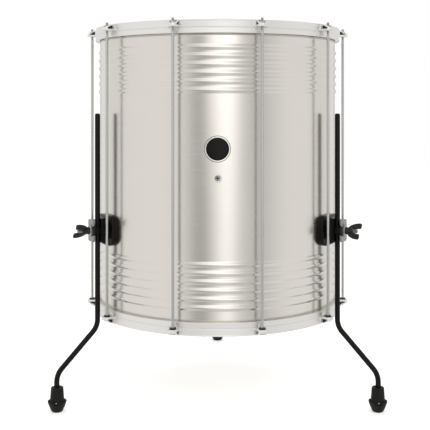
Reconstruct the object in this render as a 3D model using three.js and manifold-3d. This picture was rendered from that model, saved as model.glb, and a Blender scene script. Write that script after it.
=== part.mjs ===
// Surdo: a deep aluminium bass drum with two heads, standing on three bent steel legs.
// Millimetres, +Z up. The drum axis is vertical, the floor is z = 0 and the badge faces -Y.
// An azimuth is counted from -Y towards +X, seen from above.
import * as THREE from "three";
import { mergeVertices } from "three/addons/utils/BufferGeometryUtils.js";
import Module from "manifold-3d";

const wasm = await Module();
wasm.setup();

// Fits that every piece shares
const fit = 0.3; // gap between two pieces that touch
const overrun = 3; // how far a cutting solid runs past what it cuts
const rootOverlap = 0.6; // how deep a welded or moulded feature runs into what carries it

// Shell: a rolled aluminium tube with raised beads near both edges
const shellDiameter = 502;
const shellDepth = 559;
const shellWall = 1.5;
const shellFloorGap = 185.7; // floor to the shell's lower edge
const beadCount = 6; // at each end
const beadPitch = 16.2;
const beadFromEdge = 34.6; // shell edge to the middle of the first bead
const beadWidth = 9;
const beadHeight = 2.2;
const beadCrestShare = 0.36; // flat crest as a share of the bead's width

// Heads: a coated film whose collar turns down over the shell's edge, held in a flesh hoop
const filmThickness = 0.5;
const collarDepth = 6.5; // from the shell's edge down
const fleshHoopWidth = 5.4;
const fleshHoopHeight = 8;

// Counterhoops: a flat steel band with an inner flange that presses on the flesh hoop
const hoopHeight = 25.5;
const hoopWall = 2.3;
const hoopProud = 16.6; // how far the hoop stands past the shell's edge
const hoopSideGap = 0.5; // between the band and the flesh hoop
const hoopFlange = 2;
const hoopBandStep = 0.5; // the outer band is this much smaller than the band round the flesh hoop
const hoopRimRound = 0.9;

// Ears: pressed steel lugs welded to the hoops, one for each tension rod
const rodAngles = [-162, -126, -90, -54, -18, 18, 54, 90, 126, 162];
const rodStandOff = 9.6; // hoop face to the rod's axis
const earWidth = 20;
const earTipWidth = 11;
const earReach = 10; // rod axis to the tip of the ear
const earShelf = 3;
const earShelfDrop = 11; // hoop edge to the shelf
const earGusset = 2.4;
const earPeakDrop = 1; // hoop edge to the top of the gussets
const earTipRise = 1.4; // height of the gussets at the ear's tip
const earBackWidth = 29;
const earBack = 1.6;
const earTailWidth = 10; // the tail of the back plate, under the shelf
const earTailTip = 4;
const earTailDrop = 22.5; // hoop edge to the tail's end

// Tension rods and their tuning nuts
const rodDiameter = 5.4;
const rodTipHeight = 3; // how far the threaded end stands past the hoop
const nutAcrossFlats = 10;
const nutHeight = 8;
const rodHeadAcrossFlats = 10;
const rodHeadHeight = 6;

// Badge and vent on the front of the shell
const badgeDiameter = 50;
const badgeThickness = 2.4;
const badgeRise = 53.3; // shell's middle up to the badge's middle
const ventDrop = 1.7; // shell's middle down to the vent
const ventFlangeDiameter = 17;
const ventFlange = 1.5;
const ventBarrelDiameter = 9;
const ventBore = 6;
const ventRollDiameter = 12;
const ventRoll = 1.4;

// Legs: round steel bar with two bends, in rubber feet
const legAngles = { left: -61.5, right: 61.5, rear: 180 };
const legDiameter = 10.5;
const legStandOff = 23; // shell to the middle of the leg's straight
const legTopHeight = 584;
const legSpread = 84; // how far the foot stands outside the straight of the leg
const legUpperBend = 157; // height of the upper corner of the bend
const legBendRadius = 34;
const legLowerBend = 72;
const footHeight = 48;
const footTopDiameter = 24;
const footWaistDiameter = 27;
const footWaistHeight = 26;
const footSkirtDiameter = 37;
const footSkirtHeight = 19.5;
const footSoleDiameter = 20;
const footFloor = 9; // rubber under the end of the leg

// Leg brackets: a cast base on a gasket, with a block that is grooved for the leg
const bracketBeadGap = 14.2; // uppermost bead of the lower group to the bracket's base
const gasketThickness = 1.5;
const baseWidth = 82;
const baseHeight = 60;
const baseRound = 19;
const baseThickness = 8.5;
const gasketMargin = 1; // the gasket is smaller than the base all round
const blockWidth = 30;
const blockHeight = 46; // at the leg
const blockRootHeight = 56; // at the base
const blockShort = 3; // the block ends this far inside the leg's axis

// Clamp: a stud with an eye round the leg, a plate, a washer and a wing nut
const studDiameter = 8;
const eyeWall = 3.5;
const eyeHeight = 14;
const eyeSlack = 1; // room for the leg to move across the eye
const plateWidth = 26;
const plateHeight = 44;
const plateThickness = 5.4;
const plateRib = 4.4; // the rib on the plate's back that presses on the leg
const plateRibWidth = 9;
const plateRound = 4;
const washerDiameter = 25;
const washerThickness = 1.8;
const wingHubDiameter = 15;
const wingHubTipDiameter = 12.5;
const wingHubLength = 16;
const wingThickness = 5;
const wingRestAngles = { left: 42, right: 42, rear: 12 };
const wingReach = 18.5; // stud axis to the wing's outer corner
const wingLength = 30.5; // hub's foot to the wing's tip
const studPastHub = 8.5;

// Backing plate and nut inside the shell
const backingWidth = 56;
const backingHeight = 36;
const backingThickness = 3;
const studNutAcrossFlats = 13;
const studNutHeight = 6;
const studPastNut = 3;

// Facets of the round pieces
const drumFacets = 40;
const rodFacets = 8;
const smallFacets = 12;
const legFacets = 10;
const footFacets = 16;
const badgeFacets = 28;
const bendFacets = 5;
const cornerFacets = 4;

// Radii and heights that follow from the sizes above
const shellRadius = shellDiameter / 2;
const shellBottom = shellFloorGap;
const shellTop = shellBottom + shellDepth;
const shellMiddle = (shellBottom + shellTop) / 2;
const collarInnerRadius = shellRadius + fit;
const collarOuterRadius = collarInnerRadius + filmThickness;
const fleshInnerRadius = collarOuterRadius + fit;
const fleshOuterRadius = fleshInnerRadius + fleshHoopWidth;
const bandInnerRadius = fleshOuterRadius + hoopSideGap;
const bandOuterRadius = bandInnerRadius + hoopWall;
const hoopHalfSpan = shellDepth / 2 + hoopProud;
const rodRadius = bandOuterRadius + rodStandOff;
const boreOf = (diameter) => diameter + 2 * fit;
const gasketInner = shellRadius + fit;
const gasketOuter = gasketInner + gasketThickness;
const baseInner = gasketOuter + fit;
const baseOuter = baseInner + baseThickness;
const upperBeadOfLowerGroup = shellBottom + beadFromEdge + beadPitch * (beadCount - 1);
const clampHeight = upperBeadOfLowerGroup + beadWidth / 2 + bracketBeadGap + baseHeight / 2;
const legRadius = shellRadius + legStandOff;
const blockOuter = legRadius - blockShort;
const legHalf = legDiameter / 2;
const ribInner = legRadius + legHalf + fit;
const plateInner = ribInner + plateRib;
const plateOuter = plateInner + plateThickness;
const washerInner = plateOuter + fit;
const washerOuter = washerInner + washerThickness;
const wingFoot = washerOuter + fit;
const eyeHalfGap = legHalf + fit;
const eyeInnerFace = legRadius - legHalf - fit - eyeSlack;
const eyeStart = eyeInnerFace - eyeWall;
const eyeOuterFace = legRadius + legHalf + fit;
const eyeEnd = eyeOuterFace + eyeWall;
const eyeHalfWidth = eyeHalfGap + eyeWall;
const backingOuter = shellRadius - shellWall - fit;
const backingInner = backingOuter * Math.cos(Math.PI / drumFacets) - backingThickness;
const studNutOuter = backingInner - fit;
const studNutInner = studNutOuter - studNutHeight;
const studStart = studNutInner - studPastNut;
const studEnd = wingFoot + wingHubLength + studPastHub;

// Solids

// A closed mesh as a solid that can be joined and cut
function solidFrom(geometry) {
  const bare = geometry.clone();
  bare.deleteAttribute("normal");
  bare.deleteAttribute("uv");
  const merged = mergeVertices(bare);
  return new wasm.Manifold(
    new wasm.Mesh({
      numProp: 3,
      vertProperties: merged.attributes.position.array,
      triVerts: new Uint32Array(merged.index.array),
    }),
  );
}

// A solid as geometry with flat faces
function geometryFrom(solid) {
  const { vertProperties, triVerts, numProp } = solid.getMesh();
  const corners = new Float32Array((vertProperties.length / numProp) * 3);
  for (let i = 0; i < corners.length / 3; i++) {
    corners.set(vertProperties.subarray(i * numProp, i * numProp + 3), i * 3);
  }
  const geometry = new THREE.BufferGeometry();
  geometry.setAttribute("position", new THREE.BufferAttribute(corners, 3));
  geometry.setIndex(new THREE.BufferAttribute(triVerts, 1));
  const flat = geometry.toNonIndexed();
  flat.computeVertexNormals();
  return flat;
}

const join = (...geometries) => geometries.map(solidFrom).reduce((all, one) => all.add(one));
const cut = (solid, ...geometries) =>
  geometries.reduce((left, geometry) => left.subtract(solidFrom(geometry)), solid);
const keep = (solid, geometry) => solid.intersect(solidFrom(geometry));

// A turned piece about the Z axis. The outline is [radius, height] pairs, anticlockwise in that plane.
function turned(outline, facets) {
  const points = outline.map(([radius, height]) => new THREE.Vector2(radius, height));
  return new THREE.LatheGeometry(points, facets).rotateX(Math.PI / 2);
}

// A turned piece about the outward axis, with heights that count outward from the drum axis
const turnedOutward = (outline, facets) => turned(outline, facets).rotateX(Math.PI / 2);

const ringOutline = (inner, outer, low, high) => [
  [inner, low],
  [outer, low],
  [outer, high],
  [inner, high],
  [inner, low],
];
const rodOutline = (radius, low, high) => [
  [0, low],
  [radius, low],
  [radius, high],
  [0, high],
];

const shapeOf = (points) => new THREE.Shape(points.map(([x, y]) => new THREE.Vector2(x, y)));
const prism = (shape, depth) =>
  new THREE.ExtrudeGeometry(shape, { depth, bevelEnabled: false, curveSegments: cornerFacets });

// A shape of (sideways, up) points that runs outward from one radius to another
const outwardPrism = (shape, from, to) =>
  prism(shape, to - from)
    .rotateX(Math.PI / 2)
    .translate(0, -from, 0);

// A shape of (outward, up) points that runs sideways, centred
const sidewaysPrism = (shape, width) =>
  prism(shape, width)
    .rotateX(Math.PI / 2)
    .rotateZ(-Math.PI / 2)
    .translate(width / 2, 0, 0);

function regularPolygon(radius, sides) {
  const corners = [];
  for (let i = 0; i < sides; i++) {
    const angle = (2 * Math.PI * i) / sides;
    corners.push([radius * Math.cos(angle), radius * Math.sin(angle)]);
  }
  return shapeOf(corners);
}

const hexagon = (acrossFlats) => regularPolygon(acrossFlats / 2 / Math.cos(Math.PI / 6), 6);

function roundedRectangle(width, height, round) {
  const shape = new THREE.Shape();
  const x = width / 2 - round;
  const y = height / 2 - round;
  shape.absarc(x, y, round, 0, Math.PI / 2);
  shape.absarc(-x, y, round, Math.PI / 2, Math.PI);
  shape.absarc(-x, -y, round, Math.PI, 1.5 * Math.PI);
  shape.absarc(x, -y, round, 1.5 * Math.PI, 2 * Math.PI);
  return shape;
}

function rectangle(width, height) {
  return shapeOf([
    [-width / 2, -height / 2],
    [width / 2, -height / 2],
    [width / 2, height / 2],
    [-width / 2, height / 2],
  ]);
}

// A straight bore along the outward axis, from one radius to another
const outwardBore = (diameter, from, to) =>
  turnedOutward(rodOutline(diameter / 2, from, to), smallFacets);

// Hexagon nut about the Z axis, from the height 0 up
function hexNut(acrossFlats, bore, height, boreFacets) {
  const shape = hexagon(acrossFlats);
  const hole = new THREE.Path();
  const radius = bore / 2;
  for (let i = 0; i < boreFacets; i++) {
    const angle = (2 * Math.PI * i) / boreFacets;
    const corner = [radius * Math.cos(angle), radius * Math.sin(angle)];
    if (i === 0) hole.moveTo(...corner);
    else hole.lineTo(...corner);
  }
  hole.closePath();
  shape.holes.push(hole);
  return prism(shape, height);
}

// The centre line of a bar through corners that are rounded to one radius
class BentBar extends THREE.Curve {
  constructor(corners, bendRadius, stepsPerBend) {
    super();
    this.stations = [corners[0]];
    for (let i = 1; i < corners.length - 1; i++) {
      const before = corners[i - 1].clone().sub(corners[i]).normalize();
      const after = corners[i + 1].clone().sub(corners[i]).normalize();
      const halfTurn = (Math.PI - before.angleTo(after)) / 2;
      const reach = bendRadius * Math.tan(halfTurn);
      const middle = before.clone().add(after).normalize();
      const centre = corners[i].clone().addScaledVector(middle, bendRadius / Math.cos(halfTurn));
      const start = corners[i].clone().addScaledVector(before, reach).sub(centre);
      const axis = before.clone().cross(after).normalize();
      for (let step = 0; step <= stepsPerBend; step++) {
        const turn = (-2 * halfTurn * step) / stepsPerBend;
        this.stations.push(start.clone().applyAxisAngle(axis, turn).add(centre));
      }
    }
    this.stations.push(corners[corners.length - 1]);
  }

  getPoint(t, target = new THREE.Vector3()) {
    const place = Math.min(Math.max(t, 0), 1) * (this.stations.length - 1);
    const index = Math.min(Math.floor(place), this.stations.length - 2);
    return target.lerpVectors(this.stations[index], this.stations[index + 1], place - index);
  }

  getUtoTmapping(u) {
    return u;
  }
}

// Materials, with the colours of the finishes in the photograph
const finish = (color, roughness, metalness) => ({ color, roughness, metalness });
const finishes = {
  aluminium: finish(0xd5d2cc, 0.28, 1),
  chrome: finish(0xe0e0e0, 0.1, 1),
  film: finish(0xf2f0ea, 0.5, 0),
  blackPaint: finish(0x1f1e1d, 0.35, 0.1),
  blackPlastic: finish(0x1a1a1a, 0.4, 0),
  rubber: finish(0x2a2a29, 0.75, 0),
  zinc: finish(0xb9b9b5, 0.35, 1),
  badge: finish(0x101010, 0.25, 0.2),
};

function piece(name, geometry, finishName) {
  const mesh = new THREE.Mesh(geometry, new THREE.MeshStandardMaterial(finishes[finishName]));
  mesh.name = name;
  return mesh;
}

// Shell

// Heights of the bead middles, counted from the shell's middle, from the lowest up
function beadMiddles() {
  const upper = [];
  for (let i = beadCount - 1; i >= 0; i--) {
    upper.push(shellDepth / 2 - beadFromEdge - beadPitch * i);
  }
  return [...upper.map((height) => -height).reverse(), ...upper];
}

function shellGeometry() {
  const half = shellDepth / 2;
  const outline = [
    [shellRadius - shellWall, -half],
    [shellRadius, -half],
  ];
  const crest = (beadWidth * beadCrestShare) / 2;
  for (const middle of beadMiddles()) {
    outline.push([shellRadius, middle - beadWidth / 2]);
    outline.push([shellRadius + beadHeight, middle - crest]);
    outline.push([shellRadius + beadHeight, middle + crest]);
    outline.push([shellRadius, middle + beadWidth / 2]);
  }
  outline.push([shellRadius, half], [shellRadius - shellWall, half], outline[0]);
  const holes = Object.values(legAngles).map((azimuth) =>
    outwardBore(boreOf(studDiameter), backingInner - overrun, baseInner)
      .translate(0, 0, clampHeight - shellMiddle)
      .rotateZ(THREE.MathUtils.degToRad(azimuth)),
  );
  const ventHole = outwardBore(boreOf(ventBarrelDiameter), backingInner - overrun, baseInner);
  holes.push(ventHole.translate(0, 0, -ventDrop));
  return geometryFrom(cut(solidFrom(turned(outline, drumFacets)), ...holes));
}

// Heads, drawn for the top of the drum with the shell's edge at z = 0

function headFilm() {
  const under = fit;
  const over = fit + filmThickness;
  return turned(
    [
      [0, under],
      [collarInnerRadius, under],
      [collarInnerRadius, -collarDepth],
      [collarOuterRadius, -collarDepth],
      [collarOuterRadius, over],
      [0, over],
    ],
    drumFacets,
  );
}

const fleshTop = fit + filmThickness + fit;
const fleshHoop = () =>
  turned(
    ringOutline(fleshInnerRadius, fleshOuterRadius, fleshTop - fleshHoopHeight, fleshTop),
    drumFacets,
  );

// Counterhoop with its ears, drawn for the top of the drum with the hoop's edge at z = 0

// Turned outline of the band: rounded rim, outer band, step, inner band and the inner flange
function bandOutline() {
  const flangeUnder = fleshTop + fit - hoopProud;
  const flangeOver = flangeUnder + hoopFlange;
  const upperOuter = bandOuterRadius - hoopBandStep;
  const upperInner = upperOuter - hoopWall;
  return [
    [bandInnerRadius, -hoopHeight],
    [bandOuterRadius, -hoopHeight],
    [bandOuterRadius, flangeUnder],
    [upperOuter, flangeUnder + hoopBandStep],
    [upperOuter, -hoopRimRound],
    [upperOuter - hoopRimRound, 0],
    [upperInner, 0],
    [upperInner, flangeOver],
    [fleshInnerRadius + fit, flangeOver],
    [fleshInnerRadius + fit, flangeUnder],
    [bandInnerRadius, flangeUnder],
    [bandInnerRadius, -hoopHeight],
  ];
}

function ear() {
  const wall = bandOuterRadius - hoopBandStep - rootOverlap;
  const back = wall - rootOverlap;
  const face = bandOuterRadius + earBack;
  const tip = rodRadius + earReach;
  const shelfTop = -earShelfDrop;
  const shelfUnder = shelfTop - earShelf;
  const backPlate = outwardPrism(
    shapeOf([
      [-earBackWidth / 2, shelfUnder],
      [-earTailWidth / 2, shelfUnder],
      [-earTailTip / 2, -earTailDrop],
      [earTailTip / 2, -earTailDrop],
      [earTailWidth / 2, shelfUnder],
      [earBackWidth / 2, shelfUnder],
      [earBackWidth / 2, shelfTop + earShelf],
      [earWidth / 2, -earPeakDrop],
      [-earWidth / 2, -earPeakDrop],
      [-earBackWidth / 2, shelfTop + earShelf],
    ]),
    back,
    face,
  );
  const shelf = prism(
    shapeOf([
      [-earWidth / 2, -wall],
      [-earWidth / 2, -rodRadius],
      [-earTipWidth / 2, -tip],
      [earTipWidth / 2, -tip],
      [earWidth / 2, -rodRadius],
      [earWidth / 2, -wall],
    ]),
    earShelf,
  ).translate(0, 0, shelfUnder);
  const gussetShape = shapeOf([
    [wall, shelfUnder],
    [tip - earShelf, shelfUnder],
    [tip - earShelf, shelfTop + earTipRise],
    [face, -earPeakDrop],
    [wall, -earPeakDrop],
  ]);
  const cheeks = sidewaysPrism(gussetShape, earWidth);
  const throat = sidewaysPrism(
    shapeOf([
      [face, shelfTop],
      [tip + overrun, shelfTop],
      [tip + overrun, overrun],
      [face, overrun],
    ]),
    earWidth - 2 * earGusset,
  );
  // The cheeks keep inside the shelf's tapered outline
  const outline = prism(
    shapeOf([
      [-earWidth / 2, -back],
      [-earWidth / 2, -rodRadius],
      [-earTipWidth / 2, -tip],
      [earTipWidth / 2, -tip],
      [earWidth / 2, -rodRadius],
      [earWidth / 2, -back],
    ]),
    earShelfDrop + earShelf,
  ).translate(0, 0, shelfUnder);
  const bore = turned(
    rodOutline(boreOf(rodDiameter) / 2, shelfUnder - overrun, shelfTop + overrun),
    rodFacets,
  ).translate(0, -rodRadius, 0);
  const walls = keep(cut(solidFrom(cheeks), throat), outline);
  return geometryFrom(cut(join(backPlate, shelf).add(walls), bore));
}

function counterhoop() {
  const oneEar = ear();
  const ears = rodAngles.map((azimuth) =>
    oneEar.clone().rotateZ(THREE.MathUtils.degToRad(azimuth)),
  );
  return geometryFrom(join(turned(bandOutline(), drumFacets), ...ears));
}

// Tension rods and tuning nuts, about their own axis, with the floor at z = 0

const hoopTop = shellMiddle + hoopHalfSpan;
const hoopBottom = shellMiddle - hoopHalfSpan;
const upperSeat = hoopTop - earShelfDrop + fit;
const lowerSeat = hoopBottom + earShelfDrop - fit;

function tensionRod() {
  const low = lowerSeat - rodHeadHeight;
  const shank = turned(rodOutline(rodDiameter / 2, low, hoopTop + rodTipHeight), rodFacets);
  const head = prism(hexagon(rodHeadAcrossFlats), rodHeadHeight).translate(0, 0, low);
  return geometryFrom(join(shank, head));
}

const tuningNut = () =>
  hexNut(nutAcrossFlats, boreOf(rodDiameter), nutHeight, rodFacets).translate(0, 0, upperSeat);

// Badge and vent, drawn at the front with z = 0 at their own middle

function badge() {
  const disc = turnedOutward(
    rodOutline(badgeDiameter / 2, shellRadius - badgeDiameter, shellRadius + badgeDiameter),
    badgeFacets,
  );
  const skin = ringOutline(
    shellRadius + fit,
    shellRadius + fit + badgeThickness,
    -badgeDiameter,
    badgeDiameter,
  );
  const front = outwardPrism(rectangle(2 * badgeDiameter, 2 * badgeDiameter), 0, 2 * shellRadius);
  return geometryFrom(keep(keep(solidFrom(turned(skin, drumFacets)), disc), front));
}

function vent() {
  const flangeUnder = shellRadius + fit;
  const rollOuter = shellRadius - shellWall - 2 * fit;
  return turnedOutward(
    [
      [ventBore / 2, rollOuter - ventRoll],
      [ventRollDiameter / 2, rollOuter - ventRoll],
      [ventRollDiameter / 2, rollOuter],
      [ventBarrelDiameter / 2, rollOuter],
      [ventBarrelDiameter / 2, flangeUnder],
      [ventFlangeDiameter / 2, flangeUnder],
      [ventFlangeDiameter / 2, flangeUnder + ventFlange / 2],
      [ventFlangeDiameter / 2 - ventFlange, flangeUnder + ventFlange],
      [ventBore / 2 + ventFlange / 2, flangeUnder + ventFlange],
      [ventBore / 2, flangeUnder + ventFlange / 2],
      [ventBore / 2, rollOuter - ventRoll],
    ],
    smallFacets,
  );
}

// Leg and foot, drawn at azimuth 0, where outward is -Y

const footRadius = legRadius + legSpread;
const legEnd = footFloor + fit;

function leg() {
  const at = (radius, height) => new THREE.Vector3(0, -radius, height);
  const bar = new BentBar(
    [
      at(legRadius, legTopHeight),
      at(legRadius, legUpperBend),
      at(footRadius, legLowerBend),
      at(footRadius, legEnd),
    ],
    legBendRadius,
    bendFacets,
  );
  return new THREE.ExtrudeGeometry(regularPolygon(legHalf, legFacets), {
    steps: bar.stations.length - 1,
    extrudePath: bar,
    bevelEnabled: false,
  });
}

function foot() {
  const socket = boreOf(legDiameter) / 2 / Math.cos(Math.PI / footFacets);
  return turned(
    [
      [0, 0],
      [footSoleDiameter / 2, 0],
      [footSkirtDiameter / 2, footSkirtHeight],
      [footWaistDiameter / 2, footWaistHeight],
      [footTopDiameter / 2, footHeight],
      [socket, footHeight],
      [socket, footFloor],
      [0, footFloor],
    ],
    footFacets,
  ).translate(0, -footRadius, 0);
}

// Leg bracket, drawn at azimuth 0 with z = 0 at the clamp's middle

const studBore = (from, to) => outwardBore(boreOf(studDiameter), from, to);
const eyePocket = (from, to) =>
  outwardPrism(rectangle(2 * (eyeHalfWidth + fit), eyeHeight + 2 * fit), from, to);
const legBore = () =>
  turned(rodOutline(boreOf(legDiameter) / 2, -baseHeight, baseHeight), smallFacets).translate(
    0,
    -legRadius,
    0,
  );

// The part of an outward prism that lies between two radii, so that it follows the shell's facets
function wrapped(shape, inner, outer, azimuth) {
  const ring = turned(ringOutline(inner, outer, -baseHeight, baseHeight), drumFacets);
  ring.rotateZ(-THREE.MathUtils.degToRad(azimuth));
  return keep(solidFrom(ring), outwardPrism(shape, inner / 2, outer + overrun));
}

function gasket(azimuth) {
  const shape = roundedRectangle(
    baseWidth - gasketMargin,
    baseHeight - gasketMargin,
    baseRound - gasketMargin / 2,
  );
  const pad = wrapped(shape, gasketInner, gasketOuter, azimuth);
  return geometryFrom(cut(pad, studBore(gasketInner - overrun, gasketOuter + overrun)));
}

function bracket(azimuth) {
  const foot = roundedRectangle(baseWidth, baseHeight, baseRound);
  const base = wrapped(foot, baseInner, baseOuter, azimuth);
  const blockRoot = baseInner + gasketThickness;
  const block = sidewaysPrism(
    shapeOf([
      [blockRoot, -blockRootHeight / 2],
      [blockOuter, -blockHeight / 2],
      [blockOuter, blockHeight / 2],
      [blockRoot, blockRootHeight / 2],
    ]),
    blockWidth,
  );
  return geometryFrom(
    cut(
      base.add(solidFrom(block)),
      legBore(),
      eyePocket(eyeStart - fit, blockOuter + overrun),
      studBore(gasketInner - overrun, eyeStart + overrun),
    ),
  );
}

function backingPlate(azimuth) {
  const turn = THREE.MathUtils.degToRad(azimuth);
  const face = backingInner;
  const plate = outwardPrism(rectangle(backingWidth, backingHeight), face, shellRadius);
  const inside = turned(rodOutline(backingOuter, -backingHeight, backingHeight), drumFacets);
  const trimmed = keep(solidFrom(plate), inside.rotateZ(-turn));
  return geometryFrom(cut(trimmed, studBore(face - overrun, shellRadius + overrun)));
}

const studNut = () =>
  hexNut(studNutAcrossFlats, boreOf(studDiameter), studNutHeight, smallFacets)
    .rotateX(Math.PI / 2)
    .translate(0, -studNutInner, 0);

// Clamp stud: a threaded shank, the eye round the leg and the threaded end for the wing nut
function clampStud() {
  const innerShank = turnedOutward(
    rodOutline(studDiameter / 2, studStart, eyeStart + eyeWall / 2),
    smallFacets,
  );
  const outerShank = turnedOutward(
    rodOutline(studDiameter / 2, eyeEnd - eyeWall / 2, studEnd),
    smallFacets,
  );
  const ring = outwardPrism(rectangle(2 * eyeHalfWidth, eyeHeight), eyeStart, eyeEnd);
  const gap = outwardPrism(
    rectangle(2 * eyeHalfGap, eyeHeight + 2 * overrun),
    eyeInnerFace,
    eyeOuterFace,
  );
  return geometryFrom(cut(solidFrom(ring), gap).add(join(innerShank)).add(join(outerShank)));
}

// Clamp plate with a rib on its back, and a window for the stud's eye
function clampPlate() {
  const web = outwardPrism(
    roundedRectangle(plateWidth, plateHeight, plateRound),
    plateInner,
    plateOuter,
  );
  const rib = outwardPrism(
    rectangle(plateRibWidth, plateHeight),
    ribInner,
    plateInner + rootOverlap,
  );
  return geometryFrom(cut(join(web, rib), eyePocket(ribInner - overrun, plateOuter + overrun)));
}

const washer = () =>
  turnedOutward(
    ringOutline(boreOf(studDiameter) / 2, washerDiameter / 2, washerInner, washerOuter),
    footFacets,
  );

function wingNut() {
  const hub = turnedOutward(
    [
      [0, wingFoot],
      [wingHubDiameter / 2, wingFoot],
      [wingHubDiameter / 2, wingFoot + wingHubLength / 2],
      [wingHubTipDiameter / 2, wingFoot + wingHubLength],
      [0, wingFoot + wingHubLength],
    ],
    smallFacets,
  );
  // A wing as shares of its length along the stud and of its reach from the stud
  const wingShares = [
    [0.22, 0.2],
    [0.24, 0.42],
    [0.5, 0.8],
    [0.86, 0.98],
    [0.99, 0.97],
    [0.97, 0.36],
    [0.6, 0.26],
    [0.5, 0.2],
  ];
  const wing = sidewaysPrism(
    shapeOf(wingShares.map(([along, out]) => [wingFoot + wingLength * along, wingReach * out])),
    wingThickness,
  );
  const bore = outwardBore(boreOf(studDiameter), wingFoot - overrun, studEnd + wingLength);
  return geometryFrom(cut(join(hub, wing, wing.clone().rotateY(Math.PI)), bore));
}

// Assembly

const drum = new THREE.Group();

const shell = piece("shell", shellGeometry(), "aluminium");
shell.position.z = shellMiddle;
drum.add(shell);

// The lower end of the drum is the upper end turned over
const ends = [
  { end: "top", headName: "batter_head", edge: shellTop, rim: hoopTop, turn: 0 },
  { end: "bottom", headName: "resonant_head", edge: shellBottom, rim: hoopBottom, turn: Math.PI },
];
for (const { end, headName, edge, rim, turn } of ends) {
  const head = new THREE.Group();
  head.position.z = edge;
  head.rotation.y = turn;
  head.add(piece(headName, headFilm(), "film"));
  head.add(piece("flesh_hoop_" + end, fleshHoop(), "aluminium"));
  const hoop = piece("counterhoop_" + end, counterhoop(), "chrome");
  hoop.position.z = rim;
  hoop.rotation.y = turn;
  drum.add(head, hoop);
}

rodAngles.forEach((azimuth, index) => {
  const place = new THREE.Group();
  place.rotation.z = THREE.MathUtils.degToRad(azimuth);
  const number = String(index + 1).padStart(2, "0");
  const rod = piece("tension_rod_" + number, tensionRod(), "chrome");
  const nut = piece("tuning_nut_" + number, tuningNut(), "chrome");
  rod.position.y = -rodRadius;
  nut.position.y = -rodRadius;
  place.add(rod, nut);
  drum.add(place);
});

const badgePlate = piece("badge", badge(), "badge");
badgePlate.position.z = shellMiddle + badgeRise;
const ventGrommet = piece("vent_grommet", vent(), "chrome");
ventGrommet.position.z = shellMiddle - ventDrop;
drum.add(badgePlate, ventGrommet);

for (const [side, azimuth] of Object.entries(legAngles)) {
  const turn = THREE.MathUtils.degToRad(azimuth);
  const standing = new THREE.Group();
  standing.rotation.z = turn;
  standing.add(piece("leg_" + side, leg(), "blackPaint"));
  standing.add(piece("foot_" + side, foot(), "rubber"));

  const clamp = new THREE.Group();
  clamp.rotation.z = turn;
  clamp.position.z = clampHeight;
  clamp.add(piece("bracket_gasket_" + side, gasket(azimuth), "rubber"));
  clamp.add(piece("leg_bracket_" + side, bracket(azimuth), "blackPaint"));
  clamp.add(piece("backing_plate_" + side, backingPlate(azimuth), "zinc"));
  clamp.add(piece("stud_nut_" + side, studNut(), "zinc"));
  clamp.add(piece("clamp_stud_" + side, clampStud(), "zinc"));
  clamp.add(piece("clamp_plate_" + side, clampPlate(), "chrome"));
  clamp.add(piece("washer_" + side, washer(), "chrome"));
  const wing = piece("wing_nut_" + side, wingNut(), "blackPlastic");
  wing.rotation.y = THREE.MathUtils.degToRad(wingRestAngles[side]);
  clamp.add(wing);
  drum.add(standing, clamp);
}

// The part's origin is on the floor, under the middle of the box round the whole drum
drum.updateMatrixWorld(true);
const middle = new THREE.Box3().setFromObject(drum, true).getCenter(new THREE.Vector3());
drum.position.set(-middle.x, -middle.y, 0);

const surdo = new THREE.Group();
surdo.name = "surdo";
surdo.add(drum);

export default surdo;
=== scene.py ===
"""Surdo drum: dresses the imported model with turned, drawn and cut pieces, and sets up the studio."""

import math
from itertools import pairwise

import bpy
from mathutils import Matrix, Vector


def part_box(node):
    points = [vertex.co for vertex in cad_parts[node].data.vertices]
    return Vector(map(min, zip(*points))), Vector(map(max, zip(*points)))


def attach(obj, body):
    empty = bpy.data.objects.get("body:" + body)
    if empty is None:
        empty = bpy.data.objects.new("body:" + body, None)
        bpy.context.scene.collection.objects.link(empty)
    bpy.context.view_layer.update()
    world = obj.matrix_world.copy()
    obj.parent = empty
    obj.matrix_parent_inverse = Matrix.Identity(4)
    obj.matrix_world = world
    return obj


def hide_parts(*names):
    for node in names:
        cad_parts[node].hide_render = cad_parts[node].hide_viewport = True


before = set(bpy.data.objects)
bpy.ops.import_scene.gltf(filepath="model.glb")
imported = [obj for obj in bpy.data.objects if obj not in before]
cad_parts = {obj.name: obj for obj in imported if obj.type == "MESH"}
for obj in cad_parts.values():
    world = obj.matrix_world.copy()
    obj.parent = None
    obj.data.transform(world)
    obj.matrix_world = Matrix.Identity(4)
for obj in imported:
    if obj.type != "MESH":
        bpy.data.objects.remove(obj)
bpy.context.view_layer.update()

bl_info = {
    "name": "Surdo Drum",
    "version": (1, 0, 0),
    "blender": (4, 5, 0),
    "location": "View3D > Sidebar > Surdo",
    "description": "Models the visible pieces of a surdo drum and its studio",
    "category": "Object",
}

MM = 0.001
SHELL_LOW, SHELL_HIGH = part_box("shell")
AXIS_Y = (SHELL_LOW.y + SHELL_HIGH.y) / 2


def middle_height(node):
    """The height of a node's middle above the floor, in metres"""
    return sum(corner.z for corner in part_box(node)) / 2


# Heights above the floor in millimetres
HOOP_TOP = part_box("counterhoop_top")[1].z / MM
HOOP_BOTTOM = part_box("counterhoop_bottom")[0].z / MM
SHELL_TOP = SHELL_HIGH.z / MM
SHELL_BOTTOM = SHELL_LOW.z / MM
SHELL_MIDDLE = (SHELL_TOP + SHELL_BOTTOM) / 2
LEG_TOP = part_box("leg_left")[1].z / MM
CLAMP_HEIGHT = middle_height("clamp_plate_left") / MM
# The height of the small chrome knob on each foot's front, a painted glint
FOOT_GLINT_HEIGHT = 18.8

# Azimuths in degrees from the front, towards the right
LEGS = {"left": -61.5, "right": 61.5, "rear": 180}
RODS = {f"{i + 1:02d}": azimuth for i, azimuth in enumerate(range(-162, 163, 36))}

# How far each wing nut is turned at rest, in degrees
WING_REST = {"left": 42, "right": 42, "rear": 12}

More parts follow.
